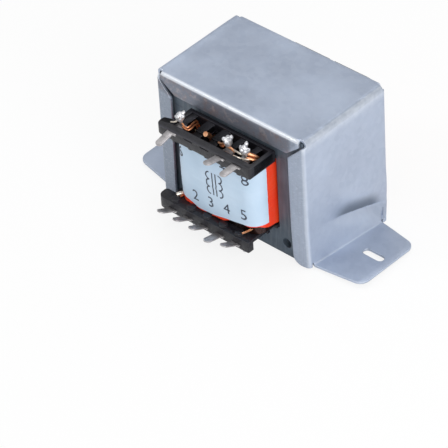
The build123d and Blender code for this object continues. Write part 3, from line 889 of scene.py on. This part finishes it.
def make_print():
    """Plain figures by the tags and a coil sign, printed on the label."""
    mesh = bmesh.new()
    size, print_lift = 6.4, 0.17
    slant = Matrix.Rotation(radians(3.5), 4, "Z")
    for number in range(5):
        x = LOWER_TAG_X + (number - 2) * TAG_PITCH
        z = 19.6 + 0.1 * x
        joined(mesh, figure_mesh(str(number + 1), size), Matrix.Translation((x + 1.5, z, 0)) @ slant)
    for figure, x in (("6", -16.0), ("7", 5.0), ("8", 14.8)):
        joined(mesh, figure_mesh(figure, size), Matrix.Translation((x, 36.0 + 0.06 * x, 0)) @ slant)
    joined(mesh, coil_sign(), Matrix.Translation((0.6, 28.6, 0)) @ slant)
    ruled(mesh, 0, spaced(-21, 21, 0.6))
    ruled(mesh, 1, spaced(14, 42, 0.6))
    for v in mesh.verts:
        v.co = label_place(v.co.x, v.co.y, print_lift)
    bmesh.ops.recalc_face_normals(mesh, faces=mesh.faces)
    return finished(mesh, "label_figures", PRINT, crease=60)


def wires(name, routes, material, replaced=()):
    """Round wires along smooth lines. Each route is a radius and the points that it bends round."""
    line = bpy.data.curves.new(name, "CURVE")
    line.dimensions = "3D"
    line.bevel_depth = 1.0
    line.bevel_resolution = 3
    line.use_fill_caps = True
    line.resolution_u = 8
    for radius, points in routes:
        spline = line.splines.new("NURBS")
        spline.points.add(len(points) - 1)
        for point, place in zip(spline.points, points):
            point.co = (*place, 1.0)
            point.radius = radius
        spline.order_u = 3
        spline.use_endpoint_u = True
    mesh = worked_out(placed(name, line))
    bmesh.ops.recalc_face_normals(mesh, faces=mesh.faces)
    return finished(mesh, name, material, replaced, crease=50)


def lower_place(point):
    """The place in the lower tray that matches one in the upper tray, which is turned over to make it."""
    x, y, z = point
    return (-x, y, CORE_Z - z)


def solder_lump(name, centre, lobes, seed, node):
    """Solder that has run round a wrapped wire: a knot of bright lobes and points, melted together."""
    pick = random.Random(seed)
    mesh = bmesh.new()
    up = -1 if centre[2] < CORE_Z / 2 else 1
    for lobe in range(lobes):
        turn = 2 * pi * lobe / lobes + pick.uniform(-0.25, 0.25)
        root = Vector((0.45 * cos(turn), 0.45 * sin(turn), -1.6 * up + pick.uniform(-0.3, 0.3)))
        reach = pick.uniform(1.15, 1.6)
        tip = Vector((reach * cos(turn), reach * sin(turn), up * pick.uniform(-0.6, 1.1)))
        run = tip - root
        place = Matrix.Translation(Vector(centre) + (root + tip) / 2)
        place = place @ run.to_track_quat("Z", "X").to_matrix().to_4x4()
        place = place @ Matrix.Diagonal((1.0, 0.8, (run.length / 2 + 0.35) / 0.55, 1.0))
        bmesh.ops.create_icosphere(mesh, subdivisions=3, radius=pick.uniform(0.75, 0.95), matrix=place)
        bmesh.ops.create_icosphere(mesh, subdivisions=2, radius=pick.uniform(0.7, 0.98),
                                   matrix=Matrix.Translation(Vector(centre) + tip))
    for radius, rise in ((1.6, -1.0), (1.3, 0.2)):
        bmesh.ops.create_icosphere(mesh, subdivisions=3, radius=radius,
                                   matrix=Matrix.Translation(Vector(centre) + Vector((0, 0, rise * up))))
    bmesh.ops.scale(mesh, vec=(MM,) * 3, verts=mesh.verts)
    mesh = modified(mesh, "REMESH", mode="VOXEL", voxel_size=0.17 * MM)
    bmesh.ops.scale(mesh, vec=(1 / MM,) * 3, verts=mesh.verts)
    bmesh.ops.smooth_vert(mesh, verts=mesh.verts, factor=0.5,
                          use_axis_x=True, use_axis_y=True, use_axis_z=True)
    return finished(mesh, name, SOLDER, [node], crease=80)


def make_upper_terminals():
    """The upper tray's three tags, their solder, the winding's ends and one spare end."""
    for number, lobes in ((1, 5), (4, 5), (5, 4)):
        x = UPPER_TAG_X + (number - 3) * TAG_PITCH
        softened(f"upper_tag_{number}", f"tinned_upper_{number}", TINNED, 0.09)
        solder_lump(f"joint_upper_{number}", (x - 0.4, POST_Y, JOINT_Z), lobes, 10 + number,
                    f"upper_solder_{number}")
    wires("copper_upper_1", [
        (0.36, [(-14.1, -24.3, 42.5), (-14.0, -24.5, 45.6), (-13.2, -27.6, 46.7), (-12.4, -30.6, 46.8),
                (-13.4, -31.9, 46.6), (-15.2, -31.3, 47.6)]),
        (0.36, [(-13.0, -24.6, 42.5), (-13.0, -24.9, 45.0), (-12.2, -28.4, 46.2), (-11.6, -30.9, 46.2),
                (-12.6, -32.2, 46.0), (-14.6, -31.9, 46.8)]),
        (0.36, [(-13.5, -25.4, 42.5), (-13.6, -25.8, 44.9), (-13.1, -29.0, 45.7), (-12.9, -30.8, 45.9),
                (-14.6, -31.2, 46.4)])], COPPER, ["upper_lead_1"])
    wires("copper_spare", [
        (0.95, [(-5.1, -27.0, 42.5), (-5.2, -27.8, 44.6), (-5.1, -29.4, 46.2), (-4.9, -30.3, 47.1)])],
        BARE_COPPER, ["spare_lead"])
    wires("copper_upper_4", [
        (0.42, [(1.4, -26.6, 42.5), (0.9, -27.6, 44.6), (0.8, -30.2, 46.2), (2.8, -30.8, 46.7),
                (4.8, -30.8, 47.8), (6.2, -31.2, 49.3)]),
        (0.42, [(2.4, -26.8, 42.5), (2.0, -27.9, 44.4), (1.8, -30.0, 45.6), (3.4, -31.4, 46.2),
                (4.8, -31.6, 47.2)]),
        (0.55, [(2.9, -29.6, 46.2), (4.3, -30.6, 47.5), (6.8, -31.2, 47.9), (8.7, -31.2, 47.3),
                (9.8, -31.0, 46.6)])],
        BARE_COPPER, ["upper_lead_4"])
    wires("copper_upper_5", [
        (0.74, [(17.9, -26.4, 42.5), (17.8, -27.0, 45.0), (17.0, -29.0, 47.3), (14.9, -30.3, 48.0)]),
        (0.70, [(18.3, -27.8, 42.5), (18.4, -28.6, 45.0), (17.6, -30.4, 46.6), (15.8, -31.5, 46.9)]),
        (0.55, [(17.3, -28.4, 42.5), (17.2, -28.8, 44.6), (16.2, -30.6, 46.0), (14.8, -31.2, 46.2)])],
        BARE_COPPER, ["upper_lead_5"])
    wires("tinned_ends", [
        (0.42, [(9.4, -31.0, 47.2), (11.2, -31.5, 47.7), (13.8, -31.8, 47.9), (15.6, -30.9, 48.5),
                (15.4, -29.9, 49.4)]),
        (0.38, [(10.4, -32.7, 46.3), (12.6, -32.9, 46.8), (15.4, -32.6, 47.0), (16.8, -31.4, 46.8)]),
        (0.30, [(-19.2, -32.9, 47.3), (-18.0, -33.1, 47.8), (-16.6, -32.5, 48.4)]),
        (0.26, [(-18.2, -31.6, 47.3), (-17.4, -31.4, 47.9), (-16.6, -31.2, 48.6)])], CREAM)


def make_lower_terminals():
    """The lower tray's five tags with solder and wires like the upper ones, and two loose ends."""
    for number in range(1, 6):
        x = LOWER_TAG_X + (number - 3) * TAG_PITCH
        softened(f"lower_tag_{number}", f"tinned_lower_{number}", TINNED, 0.09)
        solder_lump(f"joint_lower_{number}", (x + 0.1, POST_Y, CORE_Z - JOINT_Z), 6, 20 + number,
                    f"lower_solder_{number}")
        routes = []
        for strand in range(3):
            slide = (strand - 1) * 0.62
            upper = [(-x - 3.2, -26.4 + slide, 42.5), (-x - 3.1, -27.2 + slide, 45.2),
                     (-x - 2.4, -29.4, 47.2 + slide), (-x - 0.9, -30.9, 49.0)]
            routes.append((0.34, [lower_place(p) for p in upper]))
        wires(f"copper_lower_{number}", routes, COPPER, [f"lower_lead_{number}"])
    wires("tinned_lower_end", [
        (0.85, [(-17.0, -28.2, 13.6), (-18.6, -29.8, 13.6), (-19.8, -32.4, 13.4)])], CREAM)
    wires("copper_lower_strands", [
        (0.30, [(-17.6, -28.6, 12.9), (-18.1, -31.0, 12.9), (-18.4, -33.2, 12.8)]),
        (0.24, [(16.4, -31.2, 15.0), (15.0, -33.1, 13.9), (13.2, -34.4, 12.9)]),
        (0.24, [(15.6, -31.5, 14.8), (14.2, -33.3, 13.6), (12.5, -34.5, 12.8)])], BARE_COPPER)


def ears_set(place):
    """The upper tray's ear is a little lower than the tray, and the lower tray's ear is longer."""
    x, y, z = place
    if z > 45 and y < -28:
        z -= 1.2 * smooth((-19.4 - x) / 1.2) * smooth((z - 44.5) / 2)
    if z < 13 and y < -28:
        x -= 1.4 * smooth((-21 - x) / 2.5)
    return Vector((x, y, z))


def finish_hidden_windings():
    """Gives the CAD nodes that are shown as they are their materials."""
    # The secondary winding is near black as painted shade for the gap under the tape
    shown = {"primary_winding": COPPER, "secondary_winding": ENAMEL_AND_GAP_SHADE, "interlayer_film": FILM}
    for node, material in shown.items():
        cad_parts[node].data.materials[0] = material


make_core()
softened("bobbin", "bobbin_moulding", MOULDING, 0.3, warp=ears_set,
         cut=((16.4, -33.3, 7.0), (19.0, -21.0, 11.2)))
make_tape()
make_label()
make_print()
make_upper_terminals()
make_lower_terminals()
finish_hidden_windings()


# Room, lamps and camera. The camera's place, roll and lens were fitted to the photograph
FLOOR_HALF, FLOOR_DROP, FLOOR_GLOW, SKY = 1.5, 0.9, 0.84, 0.5
CAMERA_TURN, CAMERA_HEIGHT, CAMERA_ROLL = radians(44.52), radians(39.259), radians(-3.766)
CAMERA_REACH, SHIFT_ACROSS, SHIFT_UP = 1200.0, -19.774, -8.573
FOCAL_PIXELS, PICTURE_PIXELS, SENSOR = 3264.0, 448.0, 36.0
LIT_PLACE = (0, 0, 0.03)


def make_room():
    """A white floor, mostly lit of itself in the camera's eye, under an even white sky."""
    data = stored(flat_sheet(FLOOR_HALF, FLOOR_HALF), "floor")
    floor = placed("floor", data)
    floor.location.z = -FLOOR_DROP * MM
    white = bpy.data.materials.new("white_floor")
    white.use_nodes = True
    tree = white.node_tree
    plain = tree.nodes["Principled BSDF"]
    plain.inputs["Base Color"].default_value = (0.9, 0.9, 0.9, 1)
    plain.inputs["Roughness"].default_value = 0.9
    glow = tree.nodes.new("ShaderNodeEmission")
    mixed = tree.nodes.new("ShaderNodeMixShader")
    path = tree.nodes.new("ShaderNodeLightPath")
    share = tree.nodes.new("ShaderNodeMath")
    share.operation = "MULTIPLY"
    share.inputs[1].default_value = FLOOR_GLOW
    tree.links.new(path.outputs["Is Camera Ray"], share.inputs[0])
    tree.links.new(share.outputs[0], mixed.inputs[0])
    tree.links.new(plain.outputs[0], mixed.inputs[1])
    tree.links.new(glow.outputs[0], mixed.inputs[2])
    tree.links.new(mixed.outputs[0], tree.nodes["Material Output"].inputs["Surface"])
    data.materials.append(white)
    world = bpy.data.worlds.new("studio")
    world.use_nodes = True
    sky = world.node_tree.nodes["Background"]
    sky.inputs["Color"].default_value = (1, 1, 1, 1)
    sky.inputs["Strength"].default_value = SKY
    bpy.context.scene.world = world


def lamp(name, place, width, height, power):
    """An area lamp, in metres and watts, that faces the object."""
    data = bpy.data.lights.new(name, "AREA")
    data.shape = "RECTANGLE"
    data.size, data.size_y, data.energy = width, height, power
    made = placed(name, data)
    made.location = place
    made.rotation_euler = (Vector(LIT_PLACE) - Vector(place)).to_track_quat("-Z", "Y").to_euler()


def make_camera():
    """A long lens at the photograph's angle. The view turns and tilts as it does there."""
    level = cos(CAMERA_HEIGHT)
    back = Vector((sin(CAMERA_TURN) * level, -cos(CAMERA_TURN) * level, sin(CAMERA_HEIGHT)))
    right = Vector((0, 0, 1)).cross(back).normalized()
    up = back.cross(right)
    across = right * cos(CAMERA_ROLL) + up * sin(CAMERA_ROLL)
    upward = up * cos(CAMERA_ROLL) - right * sin(CAMERA_ROLL)
    data = bpy.data.cameras.new("camera")
    data.sensor_width = SENSOR
    data.lens = SENSOR * FOCAL_PIXELS / PICTURE_PIXELS
    data.clip_start, data.clip_end = 0.05, 20.0
    camera = placed("camera", data)
    camera.matrix_world = Matrix((across, upward, back)).transposed().to_4x4()
    camera.location = (across * SHIFT_ACROSS + upward * SHIFT_UP + back * CAMERA_REACH) * MM
    bpy.context.scene.camera = camera


make_room()
lamp("key", (1.1, -0.45, 0.7), 0.9, 0.9, 11)
lamp("edge", (-0.62, -0.62, 0.74), 0.22, 0.22, 1.4)
lamp("top", (0.0, 0.3, 1.3), 1.0, 0.6, 4.5)
make_camera()
bpy.context.scene.view_settings.view_transform = "Standard"
